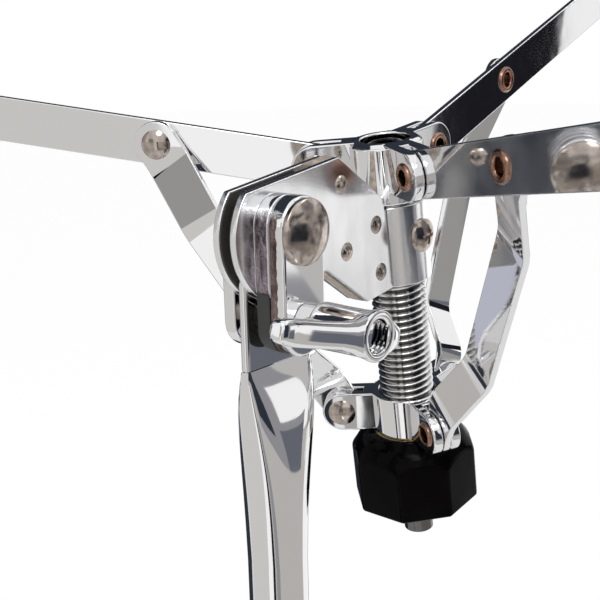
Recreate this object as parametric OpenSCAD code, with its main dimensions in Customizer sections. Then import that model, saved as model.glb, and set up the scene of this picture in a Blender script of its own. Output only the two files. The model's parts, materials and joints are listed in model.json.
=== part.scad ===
// Snare drum stand with a three-arm basket, a plate tilter and a folding tripod.
// The origin is on the floor under the upright tube. The basket pole stands on the +X side of the
// tube and the tilter's lever is on the -Y side. Sizes are in millimetres.

/* [Upright] */
// Outer diameter of the upper tube
upper_tube_d = 16; // [14:0.5:18]
// Wall of both upright tubes
tube_wall = 1.4; // [1:0.1:1.6]
// Height of the tilter's pivot over the floor
pivot_h = 580; // [565:1:600]
// Length of the upper tube below the pivot
upper_tube_len = 340; // [325:1:360]
// Outer diameter of the lower tube
lower_tube_d = 22.2; // [21.8:0.2:25]
// Height of the lower tube's top over the floor
lower_tube_top = 362; // [356:1:368]
// Height of the lower tube's bottom over the floor
lower_tube_bottom = 32; // [26:1:36]

/* [Tripod] */
// Height of the leg pins on the sliding collar
leg_pin_h = 180; // [174:1:186]
// Distance of the leg pins from the tube's axis
leg_pin_r = 24; // [23.5:0.5:27]
// Distance of the feet from the tube's axis
foot_r = 236; // [220:1:250]
// Height of the leg strips
leg_w = 16; // [14:0.5:16]
// Thickness of the leg strips
leg_t = 3; // [2.5:0.1:3.4]
// Distance from the leg pin to the stay's rivet along the leg
stay_at = 150; // [140:1:160]
// Height of the stay pins on the bottom spreader
stay_pin_h = 45; // [43:1:50]
// Height of the stay strips
stay_w = 12; // [10:0.5:13]
// Thickness of the stay strips
stay_t = 2.5; // [2:0.1:3]
// Radius of the rubber feet
foot_rad = 10; // [9:0.5:12]

/* [Tilter] */
// Distance from the pivot to the basket pole's axis
reach = 53.4; // [52.4:0.2:55]
// Tilt of the basket at rest, in degrees
tilt = 8; // [4:0.5:12]
// Offset of the pole's plane in front of the tube's axis
ear_off = 0.5; // [0:0.25:1.5]
// Distance of the flattened ear in front of the pole's plane
ear_mid = 1.25; // [1:0.05:1.5]
// Offset of the pivot beside the tube's axis, away from the pole
pivot_off = 3; // [2:0.25:3.5]
// Width of the flattened ear
ear_w = 24; // [22:0.5:26]
// Thickness of the flattened ear
ear_t = 2.6; // [2.4:0.1:3]
// Thickness of each friction pad
pad_t = 0.35; // [0.3:0.05:0.5]
// Thickness of the bracket's sheet
sheet_t = 2; // [1.6:0.1:2.4]
// Radius of the bracket's round end
bracket_r = 17.2; // [16.6:0.1:17.4]
// Height of the bracket's top edge over the pivot
bracket_top = 10.8; // [10.2:0.1:11.4]
// Depth of the bracket's level bottom edge below the pivot
bracket_level = 16.7; // [16.2:0.1:16.8]
// Height of the sleeve round the pole
sleeve_h = 23; // [22:0.5:25]
// Width of the clamping straps
strap_w = 15; // [14:0.5:16]
// Thickness of the outer strap
strap_t = 5; // [4:0.1:5.4]
// Thickness of the inner strap
inner_strap_t = 4; // [3:0.1:4.5]
// Thickness of the back strap
back_strap_t = 3.8; // [3:0.1:4.4]
// Depth of the clamping bolt below the pivot
bolt_drop = 22; // [21.8:0.1:23]
// Diameter of the clamping bolt
bolt_d = 8; // [7:0.1:8.4]
// Radius of the big pivot rivet's head
rivet_head_r = 8.1; // [7:0.1:8.8]
// Length of the lever nut's barrel
barrel_len = 22; // [20:0.5:23]
// Radius of the lever nut's barrel
barrel_r = 5.7; // [5.4:0.1:6]
// Length of the lever's blade from the barrel's axis
blade_len = 34; // [30:1:35]
// Rise of the lever's blade at rest, in degrees
blade_rise = 15; // [5:1:25]

/* [Basket] */
// Outer diameter of the pole's thread
pole_d = 16; // [15:0.1:16.4]
// Pitch of the pole's thread
pitch = 2; // [1.5:0.1:2.5]
// Distance of the pins from the pole's axis on both hubs
hub_pin_r = 19.8; // [19.4:0.1:21]
// Height of the upper hub's pins over the pivot's level
upper_pin_h = 2.7; // [2:0.1:3]
// Depth of the lower hub's pins below the pivot's level
lower_pin_drop = 72.7; // [71:0.1:74]
// Height of the upper hub
upper_hub_h = 16; // [15:0.1:16.5]
// Height of the lower hub
lower_hub_h = 12.6; // [12:0.1:13.4]
// Height of the arm and strut strips
strip_w = 13; // [12:0.1:13.4]
// Thickness of the arm and strut strips
strip_t = 2; // [1.6:0.1:2.4]
// Thickness of each clevis ear
ear_plate_t = 3; // [2.4:0.1:3.4]
// Rise of the arms at rest, in degrees
arm_rise = 13; // [12:0.1:14.5]
// Distance from the hub pin to the strut's rivet along the arm
strut_at = 46.2; // [45:0.1:48]
// Distance from the hub pin to the arm's upturned end
arm_len = 165; // [150:1:180]
// Height of the arm's upturned end
hook_h = 34; // [28:1:40]
// Sideways bow of the struts
strut_bow = 8.4; // [7.8:0.1:9]
// Wall of the rubber grips
grip_wall = 3.2; // [2.5:0.1:4]
// Width of the knob across its flats
knob_w = 35.5; // [32:0.5:38]
// Height of the knob
knob_h = 23.6; // [22:0.2:26]

/* [Hidden] */
$fn = 64;

// Radial clearance of pins and shafts that turn, and gap between flat faces that slide
run = 0.05;
// Side gap between a strip and its neighbour
side = 0.15;

upper_r = upper_tube_d / 2;
lower_r = lower_tube_d / 2;
lower_bore_r = lower_r - tube_wall;

// Tripod
leg_dx = foot_r - leg_pin_r;
foot_axis_h = foot_rad * 0.8;
leg_dz = leg_pin_h - foot_axis_h;
leg_len = norm([leg_dx, leg_dz]);
leg_lean = atan2(leg_dx, leg_dz);
leg_pin_rad = leg_w * 0.1875;
pin_head_r = leg_pin_rad * 1.57;
pin_head_h = leg_pin_rad * 0.58;
collar_r = lower_r + 3.9;
collar_h = 26;
spreader_h = 16;
stay_side = leg_t / 2 + side + stay_t / 2;
stay_end = [leg_pin_r + stay_at * sin(leg_lean), leg_pin_h - stay_at * cos(leg_lean)];
stay_len = norm([stay_end.x - leg_pin_r, stay_end.y - stay_pin_h]);
stay_rise = atan2(stay_end.y - stay_pin_h, stay_end.x - leg_pin_r);

// Height clamp and memory lock
clamp_h = 26;
clamp_r = lower_r + 4.4;
clamp_top = lower_tube_top;
clamp_bolt_r = clamp_r + 6.5;
bush_flange = 2.4;
lock_h = 14;
lock_drop = 126;
lock_r = upper_r + 6;

// Stack of the tilter, measured along Y from the pole's plane: front faces towards -Y, back faces towards +Y
pad_gap = ear_t / 2 + run + pad_t + run;
ear_front = -ear_mid - ear_t / 2;
ear_back = -ear_mid + ear_t / 2;
sheet_in = pad_gap + ear_mid;
sheet_out = sheet_in + sheet_t;
back_in = pad_gap - ear_mid;
back_out = back_in + sheet_t;
inner_face = sheet_out + run;
outer_face = inner_face + inner_strap_t;
strap_face = outer_face + strap_t;
back_seat = back_out + run;
back_face = back_seat + back_strap_t;
pivot_pin_r = 4;
strap_top = 8.6;
strap_bottom = bolt_drop + strap_w / 2 + 1.2;
short_strap = 20;
bracket_end = [3, -2.3];
core_x = 18.5;

// Basket, measured from the pole's axis at the pivot's level
pole_r = pole_d / 2;
sleeve_r = pole_r + sheet_t;
hub_top = 8.6;
ring_top = 9.6;
hub_bottom = hub_top - upper_hub_h;
hub_body_r = pole_r + 2.4;
sleeve_top = hub_bottom - 0.6;
sleeve_bottom = sleeve_top - sleeve_h;
slot_w = strip_t + 2 * side;
clevis_w = slot_w + 2 * ear_plate_t;
ear_r = strip_w / 2 + 0.3;
pin_r = 2.9;
pin_bore_r = 2.2;
lower_ear_r = lower_hub_h / 2 - 0.3;
lower_bore = pole_r + 0.25;
lower_body_r = pole_r + 2.8;
knob_top = -lower_pin_drop - lower_hub_h / 2 - 0.1;
pole_end = knob_top - knob_h - 12;
insert_r = pole_r + 3;
thread_depth = pitch * 0.6;
arm_pin = [hub_pin_r + strut_at * cos(arm_rise), upper_pin_h + strut_at * sin(arm_rise)];
strut_vec = [arm_pin.x - hub_pin_r, arm_pin.y + lower_pin_drop];
strut_len = norm(strut_vec);
strut_lean = atan2(strut_vec.x, strut_vec.y);
strut_side = strip_t + 0.2;

module at_head() {
    translate([-pivot_off, -ear_off, pivot_h]) children();
}

module at_tilt() {
    at_head() rotate([0, -tilt, 0]) children();
}

module at_basket() {
    at_tilt() translate([reach, 0, 0]) children();
}

module at_arm(a) {
    at_basket() rotate([0, 0, a]) translate([hub_pin_r, 0, upper_pin_h]) rotate([0, -arm_rise, 0]) children();
}

// Frame of a strut: its origin is the lower pin and +Z runs towards the arm's rivet
module at_strut(a) {
    at_basket() rotate([0, 0, a]) translate([hub_pin_r, 0, -lower_pin_drop]) rotate([0, strut_lean, 0]) children();
}

// Frame of a leg: its origin is the leg pin and -Z runs down the leg
module at_leg(a) {
    rotate([0, 0, a]) translate([leg_pin_r, 0, leg_pin_h]) rotate([0, -leg_lean, 0]) children();
}

// Frame of a stay: its origin is the spreader pin and +X runs out along the stay
module at_stay(a) {
    rotate([0, 0, a]) translate([leg_pin_r, stay_side, stay_pin_h]) rotate([0, -stay_rise, 0]) children();
}

// Cylinder along Y from y0 to y1
module along_y(r, y0, y1) {
    translate([0, y1, 0]) rotate([90, 0, 0]) cylinder(r = r, h = y1 - y0);
}

// Solid of revolution about the Y axis, drawn as radius and height, with its height along +Y
module turned_y() {
    rotate([-90, 0, 0]) rotate_extrude() children();
}

// Quarter profile of a low domed head: radius r, height h, on a flat seat at height 0
module dome_profile(r, h) {
    big = (r * r + h * h) / (2 * h);
    intersection() {
        translate([0, h - big]) circle(r = big, $fn = 96);
        square([r, h]);
    }
}

// Semi-tubular rivet along Y: domed head at y_head, hollow rolled tail at y_tail
module rivet(shank_r, bore_r, y_tail, y_head, head_r, head_h, tail_r) {
    translate([0, y_head, 0]) turned_y() dome_profile(head_r, head_h);
    difference() {
        union() {
            along_y(shank_r, y_tail - 0.5, y_head);
            translate([0, y_tail, 0]) rotate([180, 0, 0]) turned_y() tail_profile(shank_r, bore_r, tail_r);
        }
        along_y(bore_r, y_tail - 3, y_head - 1.5);
    }
}

// Rolled rim of a hollow rivet: from the bore out to the tail's radius
module tail_profile(shank_r, bore_r, tail_r) {
    roll = (tail_r - bore_r) / 2;
    intersection() {
        translate([bore_r + roll, 0]) circle(r = roll, $fn = 48);
        square([tail_r + 1, roll + 1]);
    }
}

// Flat bar between two points in the XZ plane, thickness t about y = 0
module bar(p, q, w, t) {
    d = q - p;
    translate([p.x, 0, p.y]) rotate([0, -atan2(d.y, d.x), 0]) translate([0, -t / 2, -w / 2]) cube([norm(d), t, w]);
}

// Three clevises round a hub: slot and ears centred at y = mid
module clevis_block(root_r, out_r, round_r, h_mid, h, w, mid) {
    for (a = [0, 120, 240]) rotate([0, 0, a]) {
        translate([0, mid - w / 2, h_mid - h / 2]) cube([out_r, w, h]);
        translate([out_r, 0, h_mid]) along_y(round_r, mid - w / 2, mid + w / 2);
    }
}

module clevis_slots(from_r, out_r, h_mid, w, mid) {
    for (a = [0, 120, 240]) rotate([0, 0, a])
        translate([from_r, mid - w / 2, h_mid - 30]) cube([out_r, w, 60]);
}

module clevis_holes(out_r, h_mid, r) {
    for (a = [0, 120, 240]) rotate([0, 0, a]) translate([out_r, 0, h_mid]) along_y(r, -12, 14);
}

// Upright and tripod

module lower_tube() {
    color("silver") difference() {
        translate([0, 0, lower_tube_bottom]) cylinder(r = lower_r, h = lower_tube_top - lower_tube_bottom);
        translate([0, 0, lower_tube_bottom - 1]) cylinder(r = lower_bore_r, h = lower_tube_top - lower_tube_bottom + 2);
    }
}

module tube_plug() {
    plug_lip = 3;
    color("black") {
        translate([0, 0, lower_tube_bottom - plug_lip]) cylinder(r1 = lower_r - 1.5, r2 = lower_r, h = plug_lip);
        translate([0, 0, lower_tube_bottom]) cylinder(r = lower_bore_r, h = 8);
    }
}

module spreader() {
    color("silver") difference() {
        union() {
            translate([0, 0, stay_pin_h - spreader_h / 2]) cylinder(r = collar_r, h = spreader_h);
            clevis_block(0, leg_pin_r, stay_w / 2, stay_pin_h, stay_w, stay_t + 2 * side + 2 * ear_plate_t, stay_side);
        }
        translate([0, 0, stay_pin_h - spreader_h]) cylinder(r = lower_r, h = 2 * spreader_h);
        clevis_slots(leg_pin_r - stay_w / 2 - 0.5, 30, stay_pin_h, stay_t + 2 * side, stay_side);
        clevis_holes(leg_pin_r, stay_pin_h, leg_pin_rad);
    }
}

module spreader_pins() {
    half = stay_t / 2 + side + ear_plate_t;
    color("silver") for (a = [0, 120, 240])
        rotate([0, 0, a]) translate([leg_pin_r, stay_side, stay_pin_h])
            rivet(leg_pin_rad, leg_pin_rad - 1, -half, half, pin_head_r, pin_head_h, leg_pin_rad + 1.2);
}

module height_clamp() {
    gap = 2.4;
    lug_w = 15;
    color("silver") difference() {
        union() {
            translate([0, 0, clamp_top - clamp_h]) cylinder(r = clamp_r, h = clamp_h);
            translate([-clamp_bolt_r, -lug_w / 2, clamp_top - clamp_h]) cube([clamp_bolt_r, lug_w, clamp_h]);
            translate([-clamp_bolt_r, 0, clamp_top - clamp_h / 2]) along_y(clamp_h / 2, -lug_w / 2, lug_w / 2);
        }
        translate([0, 0, clamp_top - clamp_h - 1]) cylinder(r = lower_r, h = clamp_h + 2);
        translate([-60, -gap / 2, clamp_top - clamp_h - 1]) cube([60, gap, clamp_h + 2]);
        translate([-clamp_bolt_r, 0, clamp_top - clamp_h / 2]) along_y(4 + run, -20, 20);
    }
}

module clamp_bush() {
    color("black") difference() {
        union() {
            translate([0, 0, clamp_top - 34]) cylinder(r = lower_bore_r, h = 34);
            translate([0, 0, clamp_top]) cylinder(r1 = lower_r + 1.6, r2 = lower_r, h = bush_flange);
        }
        translate([0, 0, clamp_top - 35]) cylinder(r = upper_r + run, h = 40);
    }
}

// Screw with a flat two-lobed wing: the shank runs along +Y from y0 to y1 and the wing starts at y1
module wing_screw(r, y0, y1, span, stem) {
    along_y(r, y0, y1);
    translate([0, y1, 0]) {
        along_y(r + 2.4, 0.1, stem);
        difference() {
            union() {
                translate([-span / 2 + 5, stem - 3, -2]) cube([span - 10, 9, 4]);
                for (s = [-1, 1]) translate([s * (span / 2 - 7), stem + 3, 0])
                    translate([0, 0, -2]) cylinder(r = 7, h = 4);
            }
            for (s = [-1, 1]) translate([s * (span / 2 - 7), stem + 3, -5]) cylinder(r = 2.6, h = 10);
        }
    }
    along_y(r, y1 - 1, y1 + 0.2);
}

module clamp_wing_bolt() {
    color("silver") translate([-clamp_bolt_r, 0, clamp_top - clamp_h / 2])
        wing_screw(4, -10.5, 7.6, 40, clamp_r + 4.8 - 7.6);
}

module leg_collar() {
    boss_r = 6.5;
    color("silver") difference() {
        union() {
            translate([0, 0, leg_pin_h - collar_h / 2]) cylinder(r = collar_r, h = collar_h);
            clevis_block(0, leg_pin_r, leg_w / 2, leg_pin_h, leg_w, leg_t + 2 * side + 2 * ear_plate_t, 0);
            rotate([0, 0, 300]) translate([0, 0, leg_pin_h]) rotate([0, 90, 0]) cylinder(r = boss_r, h = collar_r + 6);
        }
        translate([0, 0, leg_pin_h - collar_h]) cylinder(r = lower_r + 0.1, h = 2 * collar_h);
        clevis_slots(leg_pin_r - leg_w / 2 - 0.5, 36, leg_pin_h, leg_t + 2 * side, 0);
        clevis_holes(leg_pin_r, leg_pin_h, leg_pin_rad);
        rotate([0, 0, 300]) translate([0, 0, leg_pin_h]) rotate([0, 90, 0]) cylinder(r = 4 + run, h = 50);
    }
}

module leg_pins() {
    half = leg_t / 2 + side + ear_plate_t;
    color("silver") for (a = [0, 120, 240])
        rotate([0, 0, a]) translate([leg_pin_r, 0, leg_pin_h])
            rivet(leg_pin_rad, leg_pin_rad - 1, -half, half, pin_head_r, pin_head_h, leg_pin_rad + 1.2);
}

module collar_wing_screw() {
    color("silver") rotate([0, 0, 210]) translate([0, 0, leg_pin_h])
        wing_screw(4, lower_r + 0.35, collar_r + 6.1, 36, 9);
}

module leg(a) {
    color("silver") at_leg(a) difference() {
        union() {
            along_y(leg_w / 2, -leg_t / 2, leg_t / 2);
            translate([-leg_w / 2, -leg_t / 2, -leg_len]) cube([leg_w, leg_t, leg_len]);
            translate([0, -leg_t / 2, -stay_at]) rotate([180, 0, 0]) turned_y() tail_profile(leg_pin_rad, 2, 4.4);
        }
        along_y(leg_pin_rad + run, -5, 5);
        translate([0, 0, -stay_at]) along_y(2, -5, 5);
    }
}

module foot(a) {
    sock = 34;
    color("black") difference() {
        at_leg(a) translate([0, 0, -leg_len]) {
            sphere(r = foot_rad);
            cylinder(r = foot_rad, h = sock - 4);
            translate([0, 0, sock - 4]) cylinder(r1 = foot_rad, r2 = foot_rad - 1.2, h = 4);
        }
        at_leg(a) translate([-leg_w / 2, -leg_t / 2, -leg_len]) cube([leg_w, leg_t, sock + 10]);
        translate([-400, -400, -60]) cube([800, 800, 60]);
    }
}

module stay(a) {
    color("silver") at_stay(a) difference() {
        union() {
            bar([0, 0], [stay_len, 0], stay_w, stay_t);
            along_y(stay_w / 2, -stay_t / 2, stay_t / 2);
            translate([stay_len, 0, 0]) along_y(stay_w / 2, -stay_t / 2, stay_t / 2);
        }
        along_y(leg_pin_rad + run, -5, 5);
        translate([stay_len, 0, 0]) along_y(leg_pin_rad, -5, 5);
    }
}

module stay_rivet(a) {
    color("silver") at_stay(a) translate([stay_len, 0, 0]) {
        along_y(leg_pin_rad, -stay_t / 2, stay_t / 2);
        translate([0, stay_t / 2, 0]) turned_y() dome_profile(4.8, 1.8);
    }
}

module memory_lock() {
    z0 = pivot_h - lock_drop - lock_h;
    color("silver") translate([0, 0, z0]) difference() {
        union() {
            cylinder(r = lock_r, h = lock_h);
            translate([-lock_r - 9, -6.5, 0]) cube([lock_r + 9, 13, lock_h]);
        }
        translate([0, 0, -1]) cylinder(r = upper_r + run, h = lock_h + 2);
        translate([-40, -1, -1]) cube([40, 2, lock_h + 2]);
        translate([-lock_r - 4, 0, lock_h / 2]) along_y(2.5, -10, 10);
    }
}

module memory_lock_screw() {
    z0 = pivot_h - lock_drop - lock_h;
    color("silver") translate([-lock_r - 4, 0, z0 + lock_h / 2]) difference() {
        union() {
            along_y(2.5, -6.5, 6.5);
            along_y(4.2, 6.5, 10.5);
        }
        translate([0, 10.6, 0]) rotate([90, 0, 0]) cylinder(r = 2.4, h = 3, $fn = 6);
    }
}

// Upper tube, pivot and clamping straps

module upper_tube() {
    ear_bottom = 35;
    ear_top = -2.5;
    oval_z = 46;
    round_z = 76;
    fn_h = 32;
    mid = [pivot_off, ear_off];
    color("silver") at_head() difference() {
        union() {
            translate([mid.x, mid.y, -upper_tube_len]) cylinder(r = upper_r, h = upper_tube_len - round_z);
            hull() {
                translate([mid.x, mid.y, -round_z]) cylinder(r = upper_r, h = 0.1, $fn = fn_h);
                translate([mid.x, -ear_mid / 2, -oval_z]) resize([ear_w - 2, upper_tube_d - 3, 0.1])
                    cylinder(r = upper_r, h = 0.1, $fn = fn_h);
            }
            hull() {
                translate([mid.x, -ear_mid / 2, -oval_z]) resize([ear_w - 2, upper_tube_d - 3, 0.1])
                    cylinder(r = upper_r, h = 0.1, $fn = fn_h);
                translate([mid.x - ear_w / 2, ear_front, -ear_bottom]) cube([ear_w, ear_t, 0.1]);
            }
            translate([mid.x - ear_w / 2, ear_front, -ear_bottom]) cube([ear_w, ear_t, ear_bottom + ear_top]);
            translate([mid.x, 0, ear_top]) along_y(ear_w / 2, ear_front, ear_back);
        }
        translate([mid.x, mid.y, -upper_tube_len - 1])
            cylinder(r = upper_r - tube_wall, h = upper_tube_len - round_z);
        along_y(pivot_pin_r, -10, 10);
        translate([0, 0, -bolt_drop]) along_y(bolt_d / 2, -10, 10);
    }
}

// Plate with round ends in the XZ plane, from the pivot down to the bolt
module strap(y0, y1, bottom) {
    half = strap_w / 2;
    top_z = strap_top - half;
    difference() {
        union() {
            translate([0, 0, top_z]) along_y(half, y0, y1);
            translate([-half, y0, -bottom + half]) cube([strap_w, y1 - y0, bottom - half + top_z]);
            translate([0, 0, -bottom + half]) along_y(half, y0, y1);
        }
        along_y(pivot_pin_r, y0 - 1, y1 + 1);
        translate([0, 0, -bolt_drop]) along_y(bolt_d / 2, y0 - 1, y1 + 1);
    }
}

module strap_inner() {
    color("rosybrown") at_head() strap(-outer_face, -inner_face, short_strap);
}

module strap_outer() {
    color("silver") at_head() strap(-strap_face, -outer_face, strap_bottom);
}

module strap_back() {
    color("silver") at_head() strap(back_seat, back_face, strap_bottom);
}

module pivot_rivet() {
    seat = 1.2;
    color("tan") at_head() {
        along_y(pivot_pin_r, -strap_face, back_face);
        along_y(rivet_head_r, -strap_face - seat, -strap_face);
        translate([0, -strap_face - seat, 0]) rotate([180, 0, 0]) turned_y() dome_profile(rivet_head_r, 2.6);
        translate([0, back_face, 0]) turned_y() dome_profile(rivet_head_r, 2.6);
    }
}

// Black spacer under the inner strap's lower end, round the bolt
module strap_spacer() {
    gap = 0.3;
    color("black") at_head() difference() {
        intersection() {
            strap(-outer_face, -inner_face, strap_bottom);
            translate([-20, -20, -strap_bottom - 1]) cube([40, 40, strap_bottom + 1 - short_strap + strap_w / 2]);
        }
        translate([0, 0, -short_strap + strap_w / 2]) along_y(strap_w / 2 + gap, -20, 20);
    }
}

module clamp_bolt() {
    thread_end = strap_face + barrel_len - 12;
    color("silver") at_head() translate([0, 0, -bolt_drop]) {
        along_y(bolt_d / 2, -strap_face, back_face);
        along_y(bolt_d / 2 - 0.65, -thread_end, -strap_face);
        translate([0, back_face, 0]) turned_y() dome_profile(6.4, 3);
    }
}

module lever_nut() {
    face = strap_face + run;
    end = face + barrel_len;
    hole_r = bolt_d / 2 - 0.6;
    tip_w = 5;
    blade_t = 3.2;
    blade_in = 0.6;
    lobe = barrel_r + 4.3;
    color("silver") at_head() translate([0, 0, -bolt_drop]) difference() {
        union() {
            along_y(barrel_r - 0.8, -end + 1, -face);
            along_y(barrel_r, -end, -face - 5);
            rotate([0, blade_rise, 0]) {
                translate([-blade_len + tip_w - 0.5, -end + blade_in, -3.6])
                    cube([blade_len - tip_w - 1.5, blade_t, 6.2]);
                translate([-blade_len, -end + blade_in - 0.6, -2.6]) cube([tip_w, blade_t + 1.8, 5]);
                translate([1.5, -end + blade_in, -3]) cube([lobe - 1.5, blade_t, 5.6]);
            }
        }
        along_y(hole_r, -end - 2, -face + 2);
    }
}

// Bracket of the tilter, bent from one sheet round the pole

// Outline of one plate up to x = right
module bracket_outline(right) {
    peak = reach - 26.6;
    flange = reach - 20.6;
    level = reach - 36.2;
    slope_top = bracket_top - (right - peak) * 0.93;
    polygon([[0, bracket_top], [peak, bracket_top], [right, slope_top], [right, sleeve_bottom],
        [flange, sleeve_bottom], [level, -bracket_level], [0, -bracket_level]]);
    intersection() {
        translate(bracket_end) circle(r = bracket_r, $fn = 96);
        translate([-30, -bracket_level]) square([31 + bracket_end.x, bracket_level + bracket_top]);
    }
}

module bracket_plate(y0, y1, right) {
    translate([0, y1, 0]) rotate([90, 0, 0]) linear_extrude(y1 - y0) bracket_outline(right);
}

function crease(face) = reach - sqrt(sleeve_r * sleeve_r - face * face) + 0.4;

module rivet_places() {
    for (p = [[26.4, 3.6], [25.9, -14.4], [reach - 14, -11], [reach - 13.7, -24.6]])
        translate([p.x, 0, p.y]) children();
}

module tilter_sheet() {
    flat = 2 * back_out;
    color("silver") at_tilt() difference() {
        union() {
            bracket_plate(-sheet_out, -sheet_in, crease(sheet_out));
            bracket_plate(back_in, back_out, crease(back_out));
            translate([reach, 0, sleeve_bottom]) cylinder(r = sleeve_r, h = sleeve_h);
        }
        translate([reach, 0, sleeve_bottom - 5]) cylinder(r = pole_r, h = sleeve_h + 40);
        translate([0, -sheet_in, -60]) cube([reach, sheet_in + back_in, 100]);
        translate([reach, 0, sleeve_top]) cylinder(r = hub_body_r + 0.3, h = 100);
        along_y(pivot_pin_r + run, -flat, flat);
        rivet_places() along_y(1.6, -flat, flat);
        at_sleeve_screw() along_y(2.6, -20, 0);
    }
}

module tilter_core() {
    right = crease(back_out);
    color("wheat") at_tilt() difference() {
        intersection() {
            bracket_plate(-sheet_in, back_in, right);
            translate([core_x, -20, -60]) cube([reach - core_x, 40, 100]);
        }
        translate([reach, 0, -70]) cylinder(r = pole_r, h = 110);
        translate([reach, 0, sleeve_top]) cylinder(r = hub_body_r + 0.3, h = 100);
        rivet_places() along_y(1.6, -10, 10);
    }
}

module sheet_rivets() {
    color("tan") at_tilt() rivet_places() {
        along_y(1.6, -sheet_out, back_out);
        translate([0, back_out, 0]) turned_y() dome_profile(2.5, 1);
        translate([0, -sheet_out, 0]) rotate([180, 0, 0]) turned_y() dome_profile(2.5, 1);
    }
}

module friction_pads() {
    inset = 0.4;
    color("black") at_tilt() for (s = [-1, 1]) difference() {
        intersection() {
            translate([bracket_end.x, 0, bracket_end.y])
                along_y(bracket_r - inset, s > 0 ? ear_back + run : -sheet_in, s > 0 ? back_in : ear_front - run);
            translate([-30, -20, -bracket_level + inset])
                cube([30 + core_x, 40, bracket_level + bracket_top - 2 * inset]);
        }
        along_y(pivot_pin_r + run, -12, 12);
    }
}

// Half profile of the threaded pole: one V groove for each turn of the thread
module pole_profile() {
    thread_top = sleeve_bottom - 0.5;
    thread_bottom = pole_end + 11;
    turns = floor((thread_top - thread_bottom) / pitch);
    end_r = 4.5;
    root_r = pole_r - thread_depth;
    grooves = [for (i = [0:turns - 1]) each [
        [pole_r, thread_top - i * pitch],
        [root_r, thread_top - (i + 0.45) * pitch],
        [root_r, thread_top - (i + 0.55) * pitch]]];
    polygon(concat([[0, hub_top - 4], [pole_r, hub_top - 4]], grooves,
        [[pole_r, thread_top - turns * pitch], [end_r, thread_bottom - 1], [end_r, pole_end], [0, pole_end]]));
}

// The screw looks out of the sleeve along -Y
module at_screw() {
    translate([0, 0, sleeve_bottom + sleeve_h * 0.58]) children();
}

module at_sleeve_screw() {
    translate([reach, 0, 0]) at_screw() children();
}

module threaded_pole() {
    color("silver") at_basket() difference() {
        rotate_extrude() pole_profile();
        translate([0, 0, -14]) cylinder(r = 5.5, h = 30);
        at_screw() along_y(2.6, -20, -5.5);
    }
}

module sleeve_screw() {
    head_r = 4.7;
    slot_l = 4.8;
    slot_wide = 1;
    color("tan") at_basket() at_screw() {
        along_y(2.6, -sleeve_r - 0.2, -5.8);
        difference() {
            translate([0, -sleeve_r + 0.35, 0]) rotate([180, 0, 0]) turned_y() union() {
                square([head_r, 1]);
                translate([0, 1]) dome_profile(head_r, 1.7);
            }
            translate([-slot_wide / 2, -sleeve_r - 4, -slot_l / 2]) cube([slot_wide, 2.6, slot_l]);
            translate([-slot_l / 2, -sleeve_r - 4, -slot_wide / 2]) cube([slot_l, 2.6, slot_wide]);
            translate([0, 0, -10]) cylinder(r = sleeve_r, h = 20);
        }
    }
}

// Hubs, arms and struts

module upper_hub() {
    mid = (hub_top + hub_bottom) / 2;
    lip_r = pole_r - 1;
    color("silver") at_basket() difference() {
        union() {
            translate([0, 0, hub_bottom]) cylinder(r = hub_body_r, h = upper_hub_h);
            translate([0, 0, hub_top]) cylinder(r1 = hub_body_r - 0.4, r2 = pole_r + 0.8, h = ring_top - hub_top);
            clevis_block(0, hub_pin_r, ear_r, upper_pin_h, 2 * ear_r, clevis_w, 0);
        }
        translate([0, 0, hub_bottom - 1]) cylinder(r = pole_r, h = upper_hub_h - 3);
        translate([0, 0, hub_bottom]) cylinder(r = lip_r, h = 2 * upper_hub_h);
        clevis_slots(hub_pin_r - ear_r - 0.4, 30, upper_pin_h, slot_w, 0);
        clevis_holes(hub_pin_r, upper_pin_h, pin_r);
    }
}

module upper_hub_pins() {
    half = clevis_w / 2;
    color("peru") at_basket() for (a = [0, 120, 240])
        rotate([0, 0, a]) translate([hub_pin_r, 0, upper_pin_h]) rivet(pin_r, pin_bore_r, -half, half, 4.2, 1.6, 3.8);
}

module lower_hub() {
    color("silver") at_basket() translate([0, 0, -lower_pin_drop]) difference() {
        union() {
            translate([0, 0, -lower_hub_h / 2]) cylinder(r = lower_body_r, h = lower_hub_h);
            clevis_block(0, hub_pin_r, lower_ear_r, 0, 2 * lower_ear_r, clevis_w, 0);
        }
        translate([0, 0, -lower_hub_h]) cylinder(r = lower_bore, h = 2 * lower_hub_h);
        clevis_slots(hub_pin_r - lower_ear_r - 0.4, 30, 0, slot_w, 0);
        clevis_holes(hub_pin_r, 0, pin_r);
    }
}

module lower_hub_pins() {
    half = clevis_w / 2;
    color("peru") at_basket() for (a = [0, 120, 240])
        rotate([0, 0, a]) translate([hub_pin_r, 0, -lower_pin_drop]) rivet(pin_r, pin_bore_r, -half, half, 4.1, 1.5, 3.6);
}

module knob() {
    corner = knob_w / 2 / cos(22.5);
    color("#1c1a1d") at_basket() translate([0, 0, knob_top - knob_h]) difference() {
        intersection() {
            rotate([0, 0, 22.5]) cylinder(r = corner, h = knob_h, $fn = 8);
            rotate_extrude() polygon([[0, 0], [corner + 1, 0], [corner + 1, knob_h - 9.5],
                [corner - 0.6, knob_h - 6.5], [corner - 3.4, knob_h - 2.4], [corner - 7, knob_h], [0, knob_h]]);
        }
        translate([0, 0, -1]) cylinder(r = insert_r, h = knob_h + 2);
    }
}

module knob_insert() {
    color("goldenrod") at_basket() translate([0, 0, knob_top - knob_h]) difference() {
        cylinder(r = insert_r, h = knob_h);
        translate([0, 0, -1]) cylinder(r = pole_r + 0.1, h = knob_h + 2);
    }
}

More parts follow.
